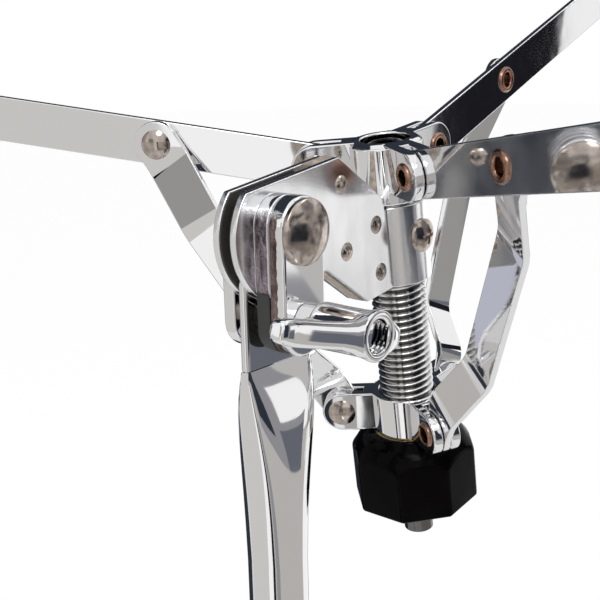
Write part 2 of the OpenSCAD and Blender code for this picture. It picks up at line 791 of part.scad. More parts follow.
module arm(a) {
    color("silver") at_arm(a) difference() {
        union() {
            along_y(strip_w / 2 + 0.1, -strip_t / 2, strip_t / 2);
            bar([0, 0], [arm_len, 0], strip_w, strip_t);
            translate([arm_len, 0, 0]) along_y(strip_w / 2, -strip_t / 2, strip_t / 2);
            bar([arm_len, 0], [arm_len, hook_h], strip_w, strip_t);
        }
        along_y(pin_r + run, -5, 5);
        translate([strut_at, 0, 0]) along_y(pin_r, -5, 5);
    }
}

module arm_eyelet(a) {
    color("peru") at_arm(a) translate([strut_at, 0, 0]) difference() {
        union() {
            along_y(pin_r, -strip_t / 2, strip_t / 2);
            translate([0, -strip_t / 2, 0]) rotate([180, 0, 0]) turned_y() tail_profile(pin_r, pin_bore_r, 4);
        }
        along_y(pin_bore_r, -5, 5);
    }
}

// Rubber sleeve over the arm's upturned end
module grip(a) {
    back = 34;
    w = strip_w + 2 * grip_wall;
    t = strip_t + 2 * grip_wall;
    color("#222222") at_arm(a) difference() {
        union() {
            bar([arm_len - back, 0], [arm_len, 0], w, t);
            translate([arm_len, 0, 0]) along_y(w / 2, -t / 2, t / 2);
            bar([arm_len, 0], [arm_len, hook_h + grip_wall], w, t);
        }
        bar([arm_len - back - 5, 0], [arm_len, 0], strip_w, strip_t);
        translate([arm_len, 0, 0]) along_y(strip_w / 2, -strip_t / 2, strip_t / 2);
        bar([arm_len, 0], [arm_len, hook_h], strip_w, strip_t);
    }
}

// Face of a strut in its own frame, a little narrower at the pin: y runs from the pin to the rivet
module strut_outline() {
    half = strip_w / 2;
    root = half - 1;
    lap = 1.5;
    wide = strut_len * 0.12;
    polygon([[-root, -lap], [-half, wide], [-half, strut_len], [-root, strut_len + lap],
        [root, strut_len + lap], [half, strut_len], [half, wide], [root, -lap]]);
}

// Side view of a strut: x runs from the pin to the rivet and y is the sideways bow
module strut_step() {
    h = strip_t / 2;
    rise0 = strut_len * 0.10;
    rise1 = strut_len * 0.235;
    fall0 = strut_len * 0.735;
    fall1 = strut_len * 0.945;
    far = strut_len + 20;
    polygon([[-20, -h], [rise0, -h], [rise1, strut_bow - h], [fall0, strut_bow - h], [fall1, strut_side - h],
        [far, strut_side - h], [far, strut_side + h], [fall1, strut_side + h], [fall0, strut_bow + h],
        [rise1, strut_bow + h], [rise0, h], [-20, h]]);
}

module strut(a) {
    color("silver") at_strut(a) difference() {
        union() {
            intersection() {
                translate([0, 20, 0]) rotate([90, 0, 0]) linear_extrude(40) strut_outline();
                rotate([0, -90, 0]) translate([0, 0, -30]) linear_extrude(60) strut_step();
            }
            along_y(strip_w / 2 - 0.5, -strip_t / 2, strip_t / 2);
            translate([0, strut_side, strut_len])
                along_y(strip_w / 2 + 0.1, -strip_t / 2, strip_t / 2);
        }
        along_y(pin_r + run, -8, 8);
        translate([0, 0, strut_len]) along_y(pin_r, -8, 8);
    }
}

module strut_rivet(a) {
    color("tan") at_strut(a) translate([0, strut_side, strut_len]) {
        along_y(pin_r, -strip_t / 2, strip_t / 2);
        translate([0, strip_t / 2, 0]) turned_y() dome_profile(4.3, 1.7);
    }
}

lower_tube();
tube_plug();
spreader();
spreader_pins();
height_clamp();
clamp_bush();
clamp_wing_bolt();
leg_collar();
leg_pins();
collar_wing_screw();
leg(0);  // leg_0
leg(120);  // leg_120
leg(240);  // leg_240
foot(0);  // foot_0
foot(120);  // foot_120
foot(240);  // foot_240
stay(0);  // stay_0
stay(120);  // stay_120
stay(240);  // stay_240
stay_rivet(0);  // stay_rivet_0
stay_rivet(120);  // stay_rivet_120
stay_rivet(240);  // stay_rivet_240
memory_lock();
memory_lock_screw();
upper_tube();
strap_inner();
strap_outer();
strap_back();
pivot_rivet();
strap_spacer();
clamp_bolt();
lever_nut();
tilter_sheet();
tilter_core();
sheet_rivets();
friction_pads();
threaded_pole();
sleeve_screw();
upper_hub();
upper_hub_pins();
lower_hub();
lower_hub_pins();
knob();
knob_insert();
arm(0);  // arm_0
arm(120);  // arm_120
arm(240);  // arm_240
grip(0);  // grip_0
grip(120);  // grip_120
grip(240);  // grip_240
arm_eyelet(0);  // arm_eyelet_0
arm_eyelet(120);  // arm_eyelet_120
arm_eyelet(240);  // arm_eyelet_240
strut(0);  // strut_0
strut(120);  // strut_120
strut(240);  // strut_240
strut_rivet(0);  // strut_rivet_0
strut_rivet(120);  // strut_rivet_120
strut_rivet(240);  // strut_rivet_240
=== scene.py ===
"""Looks of the snare drum stand: chrome plate, nickel rivets, copper eyelets, rubber, and a pale studio."""
import math

import bmesh
import bpy
from mathutils import Matrix, Vector
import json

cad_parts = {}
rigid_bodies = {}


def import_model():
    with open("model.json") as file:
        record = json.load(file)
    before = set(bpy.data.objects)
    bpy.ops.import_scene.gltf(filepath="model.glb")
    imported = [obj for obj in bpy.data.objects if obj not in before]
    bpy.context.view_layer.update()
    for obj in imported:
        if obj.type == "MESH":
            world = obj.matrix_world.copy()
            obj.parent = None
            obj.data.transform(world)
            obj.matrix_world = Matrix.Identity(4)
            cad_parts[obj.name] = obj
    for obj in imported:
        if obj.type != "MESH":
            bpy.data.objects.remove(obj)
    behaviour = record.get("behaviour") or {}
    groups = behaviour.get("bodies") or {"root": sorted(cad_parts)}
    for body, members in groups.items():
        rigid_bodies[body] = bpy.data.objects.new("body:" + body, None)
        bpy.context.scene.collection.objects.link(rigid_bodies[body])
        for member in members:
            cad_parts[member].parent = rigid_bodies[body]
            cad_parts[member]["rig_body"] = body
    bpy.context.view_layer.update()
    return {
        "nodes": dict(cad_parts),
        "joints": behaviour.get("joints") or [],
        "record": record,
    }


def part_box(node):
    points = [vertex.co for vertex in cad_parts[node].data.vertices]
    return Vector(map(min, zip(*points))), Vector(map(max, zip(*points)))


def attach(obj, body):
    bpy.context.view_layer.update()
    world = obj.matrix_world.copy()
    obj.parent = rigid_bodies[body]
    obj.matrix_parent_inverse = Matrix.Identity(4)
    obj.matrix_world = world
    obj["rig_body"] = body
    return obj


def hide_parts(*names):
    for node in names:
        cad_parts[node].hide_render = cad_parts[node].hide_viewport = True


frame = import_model()
nodes = frame["nodes"]
joints = {joint["name"]: joint for joint in frame["joints"]}
slots = {part["node"]: part["material_slot"] for part in frame["record"]["subparts"]}

MM = 0.001
ARMS = (0, 120, 240)

# Places taken from the frame: the pole's axis and the pivot
pole_up = Vector(joints["knob_turn"]["axis"]).normalized()
pivot = Vector(joints["basket_tilt"]["pos_m"])
knob_place = Vector(joints["knob_turn"]["pos_m"])
KNOB_PLACE_DROP = 91 * MM
pole_origin = knob_place + pole_up * KNOB_PLACE_DROP
basket_space = Matrix.Translation(pole_origin) @ pole_up.to_track_quat("Z", "X").to_matrix().to_4x4()
TUBE_OFFSET_X = 3 * MM


# Camera at the photograph's viewing angle

CAMERA_PLACE = Vector((-0.18853, -0.17337, 0.62526))
CAMERA_RIGHT = Vector((0.64960, -0.75987, -0.02486))
CAMERA_UP = Vector((0.20224, 0.14118, 0.96911))
CAMERA_AHEAD = Vector((0.73288, 0.63456, -0.24539))
SENSOR = 36
FOCAL = 63.21
NEAREST_SEEN = 0.01


def make_camera():
    data = bpy.data.cameras.new("Camera")
    data.sensor_fit = "HORIZONTAL"
    data.sensor_width = SENSOR
    data.lens = FOCAL
    data.clip_start = NEAREST_SEEN
    camera = bpy.data.objects.new("Camera", data)
    bpy.context.scene.collection.objects.link(camera)
    turn = Matrix((CAMERA_RIGHT, CAMERA_UP, -CAMERA_AHEAD)).transposed().to_4x4()
    camera.matrix_world = Matrix.Translation(CAMERA_PLACE) @ turn
    bpy.context.scene.camera = camera


# Shader building blocks

def add(tree, kind, **values):
    """A node of this kind, with its settings and its sockets' plain values."""
    made = tree.nodes.new(kind)
    for name, value in values.items():
        socket = made.inputs.get(name.replace("_", " "))
        if socket is None:
            setattr(made, name, value)
        else:
            socket.default_value = value
    return made


def join(tree, source, output, target, field):
    tree.links.new(source.outputs[output], target.inputs[field])


NOISE_LOW = 0.3
NOISE_HIGH = 0.7


def mottle_group():
    """Soft uneven patches on Object coordinates: a mask from 0 to 1, also mapped between two values."""
    group = bpy.data.node_groups.new("Mottle", "ShaderNodeTree")
    face = group.interface
    for name, kind, value in (
        ("Size", "NodeSocketFloat", 60),
        ("Stretch", "NodeSocketVector", (1, 1, 1)),
        ("Detail", "NodeSocketFloat", 3),
        ("Low", "NodeSocketFloat", 0),
        ("High", "NodeSocketFloat", 1),
    ):
        face.new_socket(name, in_out="INPUT", socket_type=kind).default_value = value
    face.new_socket("Mask", in_out="OUTPUT", socket_type="NodeSocketFloat")
    face.new_socket("Value", in_out="OUTPUT", socket_type="NodeSocketFloat")
    entry = add(group, "NodeGroupInput")
    leave = add(group, "NodeGroupOutput")
    place = add(group, "ShaderNodeTexCoord")
    stretch = add(group, "ShaderNodeVectorMath", operation="MULTIPLY")
    noise = add(group, "ShaderNodeTexNoise")
    contrast = add(group, "ShaderNodeMapRange")
    contrast.inputs["From Min"].default_value = NOISE_LOW
    contrast.inputs["From Max"].default_value = NOISE_HIGH
    scale = add(group, "ShaderNodeMapRange")
    join(group, place, "Object", stretch, 0)
    join(group, entry, "Stretch", stretch, 1)
    join(group, stretch, "Vector", noise, "Vector")
    join(group, entry, "Size", noise, "Scale")
    join(group, entry, "Detail", noise, "Detail")
    join(group, noise, 0, contrast, "Value")
    join(group, contrast, "Result", scale, "Value")
    join(group, entry, "Low", scale, "To Min")
    join(group, entry, "High", scale, "To Max")
    join(group, contrast, "Result", leave, "Mask")
    join(group, scale, "Result", leave, "Value")
    return group


MOTTLE = mottle_group()


def mottle(tree, size, stretch=(1, 1, 1), detail=3, low=0.0, high=1.0):
    made = add(tree, "ShaderNodeGroup", node_tree=MOTTLE)
    made.inputs["Size"].default_value = size
    made.inputs["Stretch"].default_value = stretch
    made.inputs["Detail"].default_value = detail
    made.inputs["Low"].default_value = low
    made.inputs["High"].default_value = high
    return made


def blend_colours(tree, mask, output, first, second):
    made = add(tree, "ShaderNodeMix", data_type="RGBA")
    join(tree, mask, output, made, 0)
    made.inputs[6].default_value = (*first, 1)
    made.inputs[7].default_value = (*second, 1)
    return made


def start_material(name, base, metallic, roughness):
    material = bpy.data.materials.new(name)
    material.use_nodes = True
    tree = material.node_tree
    tree.nodes.clear()
    out = add(tree, "ShaderNodeOutputMaterial")
    shader = add(tree, "ShaderNodeBsdfPrincipled", Metallic=metallic, Roughness=roughness)
    shader.inputs["Base Color"].default_value = (*base, 1)
    join(tree, shader, "BSDF", out, "Surface")
    return material, tree, shader


def add_bump(tree, shader, height, output, strength, distance):
    bump = add(tree, "ShaderNodeBump", Strength=strength, Distance=distance)
    join(tree, height, output, bump, "Height")
    join(tree, bump, "Normal", shader, "Normal")
    return bump


# Materials

def plated(name, base, gloss_low, gloss_high, wave, grain=0.0):
    """Bright plating: long shallow waves in the steel under it, faint smears, and a fine grain."""
    material, tree, shader = start_material(name, base, metallic=1, roughness=gloss_low)
    smears = mottle(tree, size=220, stretch=(1, 1, 0.4), detail=4, low=gloss_low, high=gloss_high)
    join(tree, smears, "Value", shader, "Roughness")
    waves = mottle(tree, size=70, detail=1)
    bump = add_bump(tree, shader, waves, "Mask", strength=wave, distance=0.4 * MM)
    if grain:
        grains = mottle(tree, size=2600, detail=2)
        fine = add(tree, "ShaderNodeBump", Strength=grain, Distance=0.1 * MM)
        join(tree, grains, "Mask", fine, "Height")
        join(tree, fine, "Normal", bump, "Normal")
    return material


SMEAR_SCALE = 1.7
SMEAR_LOW = 0.8
SMEAR_HIGH = 1.5


def tarnished(name, light, dark, gloss, size):
    """Warm metal with darker tarnished patches."""
    material, tree, shader = start_material(name, light, metallic=1, roughness=gloss)
    patches = mottle(tree, size, detail=4)
    colour = blend_colours(tree, patches, "Mask", light, dark)
    join(tree, colour, 2, shader, "Base Color")
    smears = mottle(tree, size * SMEAR_SCALE, detail=3, low=gloss * SMEAR_LOW, high=gloss * SMEAR_HIGH)
    join(tree, smears, "Value", shader, "Roughness")
    add_bump(tree, shader, patches, "Mask", strength=0.08, distance=0.2 * MM)
    return material


# Distances from the pole's axis where the painted shade in a groove is darkest and where the crest shows the
# plain plating
GROOVE_SHADE_FULL = 7.0 * MM
GROOVE_SHADE_NONE = 7.8 * MM


def plating_with_groove_shade(name, crest, root):
    """Plating with painted shade in its thread grooves: darker towards the root, measured from the pole's
    axis.
    """
    material, tree, shader = start_material(name, crest, metallic=1, roughness=0.1)
    place = add(tree, "ShaderNodeTexCoord")
    offset = add(tree, "ShaderNodeVectorMath", operation="SUBTRACT")
    offset.inputs[1].default_value = pole_origin
    across = add(tree, "ShaderNodeVectorMath", operation="CROSS_PRODUCT")
    across.inputs[1].default_value = pole_up
    distance = add(tree, "ShaderNodeVectorMath", operation="LENGTH")
    join(tree, place, "Object", offset, 0)
    join(tree, offset, "Vector", across, 0)
    join(tree, across, "Vector", distance, 0)
    depth = add(tree, "ShaderNodeMapRange")
    depth.inputs["From Min"].default_value = GROOVE_SHADE_FULL
    depth.inputs["From Max"].default_value = GROOVE_SHADE_NONE
    join(tree, distance, "Value", depth, "Value")
    # Painted shade: the root colour darkens the plating down in the grooves
    colour = blend_colours(tree, depth, "Result", root, crest)
    join(tree, colour, 2, shader, "Base Color")
    smears = mottle(tree, size=300, detail=3, low=0.07, high=0.16)
    join(tree, smears, "Value", shader, "Roughness")
    return material


# A normal's Y part, from plating to rim, and its Z part, from clean upper faces to grimy ones
RIM_TURN = (0.45, 0.3)
GRIME_TURN = (0.62, 0.3)
# How far the front of the torn rim wavers along Y
RAGGED = 0.35 * MM


def sheared(name, colours, front, shine):
    """Plate with a torn edge: its faces along Y are plated and its rim is rough as far as the front."""
    base, pale, dark = colours
    plate_gloss = 0.08
    material, tree, shader = start_material(name, base, metallic=1, roughness=plate_gloss)
    place = add(tree, "ShaderNodeTexCoord")
    split = add(tree, "ShaderNodeSeparateXYZ")
    join(tree, place, "Object", split, "Vector")
    face = add(tree, "ShaderNodeNewGeometry")
    turned = add(tree, "ShaderNodeSeparateXYZ")
    join(tree, face, "Normal", turned, "Vector")
    level = add(tree, "ShaderNodeMath", operation="ABSOLUTE")
    join(tree, turned, "Y", level, 0)
    rim = add(tree, "ShaderNodeMapRange")
    rim.inputs["From Min"].default_value = RIM_TURN[0]
    rim.inputs["From Max"].default_value = RIM_TURN[1]
    join(tree, level, 0, rim, "Value")
    ragged = mottle(tree, size=500, stretch=(1, 0.2, 1), detail=3, low=front - RAGGED, high=front + RAGGED)
    behind = add(tree, "ShaderNodeMath", operation="GREATER_THAN")
    join(tree, split, "Y", behind, 0)
    join(tree, ragged, "Value", behind, 1)
    below = add(tree, "ShaderNodeMapRange")
    below.inputs["From Min"].default_value = GRIME_TURN[0]
    below.inputs["From Max"].default_value = GRIME_TURN[1]
    join(tree, turned, "Z", below, "Value")
    torn = add(tree, "ShaderNodeMath", operation="MULTIPLY")
    join(tree, rim, "Result", torn, 0)
    join(tree, behind, "Value", torn, 1)
    rough = add(tree, "ShaderNodeMath", operation="MULTIPLY")
    join(tree, torn, "Value", rough, 0)
    join(tree, below, "Result", rough, 1)
    streaks = mottle(tree, size=900, stretch=(1, 0.55, 0.22), detail=5)
    specks = mottle(tree, size=1700, stretch=(1, 1, 0.6), detail=4)
    grime = blend_colours(tree, streaks, "Mask", dark, pale)
    colour = add(tree, "ShaderNodeMix", data_type="RGBA")
    join(tree, rough, "Value", colour, 0)
    colour.inputs[6].default_value = (*base, 1)
    join(tree, grime, 2, colour, 7)
    join(tree, colour, 2, shader, "Base Color")
    gloss = add(tree, "ShaderNodeMapRange")
    gloss.inputs["To Min"].default_value = plate_gloss
    gloss.inputs["To Max"].default_value = shine
    join(tree, rough, "Value", gloss, "Value")
    join(tree, gloss, "Result", shader, "Roughness")
    height = add(tree, "ShaderNodeMath", operation="MULTIPLY")
    join(tree, specks, "Mask", height, 0)
    join(tree, rough, "Value", height, 1)
    add_bump(tree, shader, height, "Value", strength=0.9, distance=0.5 * MM)
    return material


PALER_TIMES = 1.5
PALER_PLUS = 0.001


def moulded(name, base, gloss_low, gloss_high, size, depth, shine=0.5):
    """Plastic or rubber: even colour with a slight bloom and a fine moulded texture."""
    material, tree, shader = start_material(name, base, metallic=0, roughness=gloss_low)
    shader.inputs["Specular IOR Level"].default_value = shine
    bloom = mottle(tree, size=90, detail=3)
    paler = tuple(channel * PALER_TIMES + PALER_PLUS for channel in base)
    colour = blend_colours(tree, bloom, "Mask", base, paler)
    join(tree, colour, 2, shader, "Base Color")
    smears = mottle(tree, size=240, detail=4, low=gloss_low, high=gloss_high)
    join(tree, smears, "Value", shader, "Roughness")
    texture = mottle(tree, size, detail=2)
    add_bump(tree, shader, texture, "Mask", strength=depth, distance=0.2 * MM)
    return material


CHROME = (0.83, 0.83, 0.84)
# The short strap is torn all through, the long one only behind its punched front
TORN_THROUGH = -1.0
PUNCHED_DEPTH = 2.2 * MM
torn_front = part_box("strap_outer")[0].y + PUNCHED_DEPTH
STRAP_INNER_COLOURS = (CHROME, (0.46, 0.40, 0.44), (0.06, 0.045, 0.05))
STRAP_OUTER_COLOURS = (CHROME, (0.30, 0.22, 0.20), (0.03, 0.02, 0.02))

finishes = {
    "chrome": plated("Chrome plate", CHROME, 0.03, 0.07, wave=0.02),
    "sheet": plated("Chromed sheet", (0.86, 0.86, 0.87), 0.16, 0.23, wave=0.03, grain=0.05),
    # The thread's root colour is painted shade for its grooves
    "threaded": plating_with_groove_shade("Plated thread with painted groove shade", crest=(0.80, 0.80, 0.80), root=(0.16, 0.155, 0.15)),
    "nickel": tarnished("Warm nickel", (0.60, 0.53, 0.47), (0.33, 0.28, 0.25), gloss=0.15, size=380),
    "copper": tarnished("Copper eyelet", (0.46, 0.27, 0.19), (0.17, 0.085, 0.06), gloss=0.22, size=420),
    "brass": tarnished("Turned brass", (0.80, 0.64, 0.35), (0.55, 0.40, 0.20), gloss=0.22, size=300),
    "steel": tarnished("Plain steel", (0.42, 0.42, 0.43), (0.30, 0.30, 0.31), gloss=0.28, size=300),
    "raw_plate": sheared("Purple-grey sheared plate", STRAP_INNER_COLOURS, TORN_THROUGH, shine=0.45),
    "punched_plate": sheared("Punched plate", STRAP_OUTER_COLOURS, torn_front, shine=0.4),
    "core": tarnished("Pale rough core", (0.78, 0.70, 0.60), (0.50, 0.42, 0.35), gloss=0.6, size=500),
    "friction": moulded("Matt black pad", (0.03, 0.028, 0.026), 0.5, 0.75, size=1500, depth=0.4),
    "black_plastic": moulded("Black plastic", (0.02, 0.02, 0.02), 0.3, 0.45, size=900, depth=0.1),
    # The knob's near-black colour and very low shine are partly its black plastic and partly painted shade
    # for the dark surroundings it reflects
    "knob_black": moulded("Gloss black knob with painted shade", (0.001, 0.0006, 0.001), 0.12, 0.2, size=300, depth=0.03,
                          shine=0.04),
    "rubber": moulded("Black rubber", (0.022, 0.022, 0.022), 0.5, 0.7, size=1200, depth=0.25),
}


# Pieces

def keep_piece(mesh_data, name, body, stands_for, finish):
    """Puts a finished mesh into the scene as a piece that rides on a body and stands for frame nodes."""
    mesh = bpy.data.meshes.new(name)
    mesh_data.to_mesh(mesh)
    mesh_data.free()
    mesh.materials.append(finishes[finish])
    piece = bpy.data.objects.new(name, mesh)
    bpy.context.scene.collection.objects.link(piece)
    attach(piece, body)
    for node in stands_for:
        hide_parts(node)
    return piece


def stand_in(mesh_data, node, finish=None):
    """The finished piece for one node, on the node's own body and with its own slot."""
    slot = slots[node]
    return keep_piece(mesh_data, node + "_finished", nodes[node]["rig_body"], [node], finish or slot)


def shade(piece, sharp_angle):
    """Smooth shading that breaks at edges sharper than the angle and keeps flat faces flat."""
    custom = piece.data.attributes.get("custom_normal")
    if custom:
        piece.data.attributes.remove(custom)
    for face in piece.data.polygons:
        face.use_smooth = True
    piece.data.set_sharp_from_angle(angle=math.radians(sharp_angle))
    weights = piece.modifiers.new("Flat faces", "WEIGHTED_NORMAL")
    weights.keep_sharp = True
    return piece


POINTS_MERGED = 2e-6
FLAT_ANGLE = 0.004


def frame_copy(node):
    """The node's shape with its points merged and its flat faces whole, ready for rounding."""
    mesh_data = bmesh.new()
    mesh_data.from_mesh(nodes[node].data)
    bmesh.ops.remove_doubles(mesh_data, verts=mesh_data.verts, dist=POINTS_MERGED)
    bmesh.ops.dissolve_limit(mesh_data, angle_limit=FLAT_ANGLE, verts=mesh_data.verts, edges=mesh_data.edges)
    return mesh_data


def corners(mesh_data, angle):
    """Outer edges where two faces meet at more than the angle."""
    return [edge for edge in mesh_data.edges
            if edge.is_manifold and edge.is_convex and edge.calc_face_angle(0) > math.radians(angle)]


def round_edges(mesh_data, edges, width, segments):
    bmesh.ops.bevel(mesh_data, geom=edges, offset=width, offset_type="OFFSET", segments=segments,
                    profile=0.5, affect="EDGES", material=-1, clamp_overlap=False)


def finish_node(node, width, segments=2, finish=None, angle=32, sharp=35):
    """The node with softly rounded edges, as a polished or moulded piece."""
    mesh_data = frame_copy(node)
    if width:
        round_edges(mesh_data, corners(mesh_data, angle), width * MM, segments)
    return shade(stand_in(mesh_data, node, finish), sharp)


# A bend across a strip: the angles between which its faces meet, and the least length of its edge
BEND_LEAST = math.radians(5)
BEND_MOST = math.radians(43)
BEND_LENGTH = 8 * MM


def strip_bends(mesh_data):
    return [edge for edge in mesh_data.edges
            if edge.is_manifold and edge.calc_length() > BEND_LENGTH
            and BEND_LEAST < edge.calc_face_angle(0) < BEND_MOST]


def finish_strip(node, bend, width, segments):
    """A bent strip: its bends are rolled with a soft radius before its edges are rounded."""
    mesh_data = frame_copy(node)
    round_edges(mesh_data, strip_bends(mesh_data), bend * MM, segments=6)
    round_edges(mesh_data, corners(mesh_data, angle=45), width * MM, segments)
    return shade(stand_in(mesh_data, node), sharp_angle=40)


CLEVIS_FACE = 4.1 * MM
HEAD_REACH = 6 * MM


def on_head(face, pins):
    """Whether a face belongs to a pin's domed head, past the clevis."""
    middle = face.calc_center_median()
    for pin in pins:
        axis = Vector(pin["axis"]).normalized()
        offset = middle - Vector(pin["pos_m"])
        along = -offset.dot(axis)
        if (offset + axis * along).length < HEAD_REACH:
            return along > CLEVIS_FACE
    return False


def finish_pins(node, pins):
    """Hollow pins of a hub: rolled copper tails and, on their other side, domed nickel heads."""
    body = nodes[node]["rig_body"]
    for part, finish, head in (("tails", "copper", False), ("heads", "nickel", True)):
        mesh_data = frame_copy(node)
        other = [face for face in mesh_data.faces if on_head(face, pins) != head]
        bmesh.ops.delete(mesh_data, geom=other, context="FACES")
        rims = [edge for edge in mesh_data.edges if edge.is_boundary]
        bmesh.ops.holes_fill(mesh_data, edges=rims)
        piece = keep_piece(mesh_data, node + "_" + part, body, [node], finish)
        shade(piece, sharp_angle=35)


CUT_DISTANCE = 1e-7


def cut(mesh_data, height, keep_above, capped=True):
    """Cuts a mesh level at a height, drops one side and caps the opening."""
    everything = mesh_data.verts[:] + mesh_data.edges[:] + mesh_data.faces[:]
    found = bmesh.ops.bisect_plane(
        mesh_data, geom=everything, dist=CUT_DISTANCE, plane_co=(0, 0, height), plane_no=(0, 0, 1),
        clear_inner=keep_above, clear_outer=not keep_above)
    rim = [item for item in found["geom_cut"] if isinstance(item, bmesh.types.BMEdge)]
    if capped:
        bmesh.ops.contextual_create(mesh_data, geom=rim)


# Upper tube: pressed flat into an ear at its top, then swelling to round. Sizes are in millimetres

EAR_BOTTOM = 35
# The cut ear ends this far above the first ring, so its shell and the pressed one have a slit between them
EAR_SLIT = 0.3
# Edges higher than this above the first ring are the ear's
EAR_MARGIN = 0.4
EAR_EDGE = 1.2
ROUND_FROM = 90
TUBE_RADIUS = 8
TUBE_BORE = 6.6
TUBE_MIDDLE = 0.5
BOLT_DROP = 22
HOLE_REACH = 4.4
LONG_EDGE = 5
RING_BELOW = 160
BORE_SHOWN = 30
RINGS_MERGED = 1e-6
# Depth below the pivot, half width, half depth, middle along Y, and squareness
PRESSED = (
    (EAR_BOTTOM, 12, 1.3, -1.25, 9),
    (40, 12, 2.9, -1.15, 6),
    (46, 11.7, 4.5, -0.95, 4.4),
    (54, 10.8, 6.0, -0.6, 3.3),
    (64, 9.6, 7.2, -0.1, 2.6),
    (76, 8.6, 7.8, 0.3, 2.2),
    (ROUND_FROM, TUBE_RADIUS, TUBE_RADIUS, TUBE_MIDDLE, 2),
)


def slope_at(keys, i, column):
    before = keys[max(i - 1, 0)]
    after = keys[min(i + 1, len(keys) - 1)]
    return (after[column] - before[column]) / (after[0] - before[0])


def eased(keys, depth, column):
    """Smooth curve through one column of the keys."""
    last = max(i for i in range(len(keys) - 1) if keys[i][0] <= depth)
    first, second = keys[last], keys[last + 1]
    span = second[0] - first[0]
    t = (depth - first[0]) / span
    rise = slope_at(keys, last, column) * span
    fall = slope_at(keys, last + 1, column) * span
    return ((2 * t ** 3 - 3 * t ** 2 + 1) * first[column] + (t ** 3 - 2 * t ** 2 + t) * rise
            + (3 * t ** 2 - 2 * t ** 3) * second[column] + (t ** 3 - t ** 2) * fall)


def rounded_outline(half_x, half_y, square, quarter=20):
    """Evenly spaced points round a soft rectangle, counterclockwise from its right end."""
    fine = 400
    path = []
    power = 2 / square
    for i in range(fine + 1):
        a = math.pi / 2 * i / fine
        path.append((half_x * max(math.cos(a), 0) ** power, half_y * math.sin(a) ** power))
    lengths = [0]
    for first, second in zip(path, path[1:]):
        lengths.append(lengths[-1] + math.dist(first, second))
    corner = []
    j = 0
    for i in range(quarter):
        goal = lengths[-1] * i / quarter
        while lengths[j + 1] < goal:
            j += 1
        t = (goal - lengths[j]) / max(lengths[j + 1] - lengths[j], 1e-12)
        x, y = path[j]
        next_x, next_y = path[j + 1]
        corner.append((x + (next_x - x) * t, y + (next_y - y) * t))
    corner.append((0, half_y))
    upper = corner + [(-x, y) for x, y in reversed(corner[:-1])]
    return upper + [(-x, -y) for x, y in upper[1:-1]]


def pressed_ring(depth, half_x, half_y, middle, square):
    """Level ring round the upper tube."""
    return [(pivot.x + TUBE_OFFSET_X + x * MM, pivot.y + (middle + y) * MM, pivot.z - depth * MM)
            for x, y in rounded_outline(half_x, half_y, square)]


def loft(mesh_data, rings):
    """Skins rings that have the same number of points."""
    loops = [[mesh_data.verts.new(point) for point in ring] for ring in rings]
    for upper, lower in zip(loops, loops[1:]):
        for i in range(len(upper)):
            nxt = (i + 1) % len(upper)
            mesh_data.faces.new((upper[i], lower[i], lower[nxt], upper[nxt]))
    return loops


def round_ring(depth, radius):
    return pressed_ring(depth, radius, radius, TUBE_MIDDLE, 2)


def ear_rim(mesh_data, ear_end):
    """Sharp edges round the flat ear, without those of its two holes."""
    holes = (pivot.z, pivot.z - BOLT_DROP * MM)
    rim = []
    for edge in corners(mesh_data, angle=60):
        first, second = edge.verts
        in_ear = min(first.co.z, second.co.z) > ear_end
        long_edge = abs(first.co.z - second.co.z) > LONG_EDGE * MM
        at_hole = any(math.hypot(vert.co.x - pivot.x, vert.co.z - hole) < HOLE_REACH * MM
                      for vert in edge.verts for hole in holes)
        if (in_ear or long_edge) and not at_hole:
            rim.append(edge)
    return rim


def make_upper_tube():
    mesh_data = frame_copy("upper_tube")
    low = min(vert.co.z for vert in mesh_data.verts)
    cut(mesh_data, pivot.z - (EAR_BOTTOM - EAR_SLIT) * MM, keep_above=True)
    rim = ear_rim(mesh_data, pivot.z - (EAR_BOTTOM - EAR_MARGIN) * MM)
    round_edges(mesh_data, rim, EAR_EDGE * MM, segments=6)
    bottom = (pivot.z - low) / MM
    rings = [pressed_ring(depth, *(eased(PRESSED, depth, column) for column in (1, 2, 3, 4)))
             for depth in range(EAR_BOTTOM, ROUND_FROM)]
    rings += [round_ring(depth, TUBE_RADIUS) for depth in (ROUND_FROM, RING_BELOW, bottom)]
    rings += [round_ring(depth, TUBE_BORE) for depth in (bottom, bottom - BORE_SHOWN)]
    loops = loft(mesh_data, rings)
    mesh_data.faces.new(loops[0])
    mesh_data.faces.new(list(reversed(loops[-1])))
    bmesh.ops.remove_doubles(mesh_data, verts=mesh_data.verts, dist=RINGS_MERGED)
    bmesh.ops.recalc_face_normals(mesh_data, faces=mesh_data.faces)
    shade(stand_in(mesh_data, "upper_tube"), sharp_angle=38)


# Threads: true helices

# Distance along one turn and radius, in millimetres
POLE_THREAD = (
    (0, 8), (0.16, 7.98), (0.27, 7.86), (0.92, 6.92), (1.02, 6.82), (1.12, 6.82), (1.22, 6.92), (1.87, 7.86),
)
POLE_PITCH = 2
POLE_STEPS = 48
NUT_THREAD = ((0, 3.42), (0.1, 3.42), (0.55, 4.05), (0.7, 4.05), (1.15, 3.42))
NUT_PITCH = 1.25
NUT_STEPS = 40
THREAD_TOP = -31.5 * MM
THREAD_BOTTOM = -103.7 * MM
SPARE_TURNS = 2
TURNS_MERGED = 1e-7


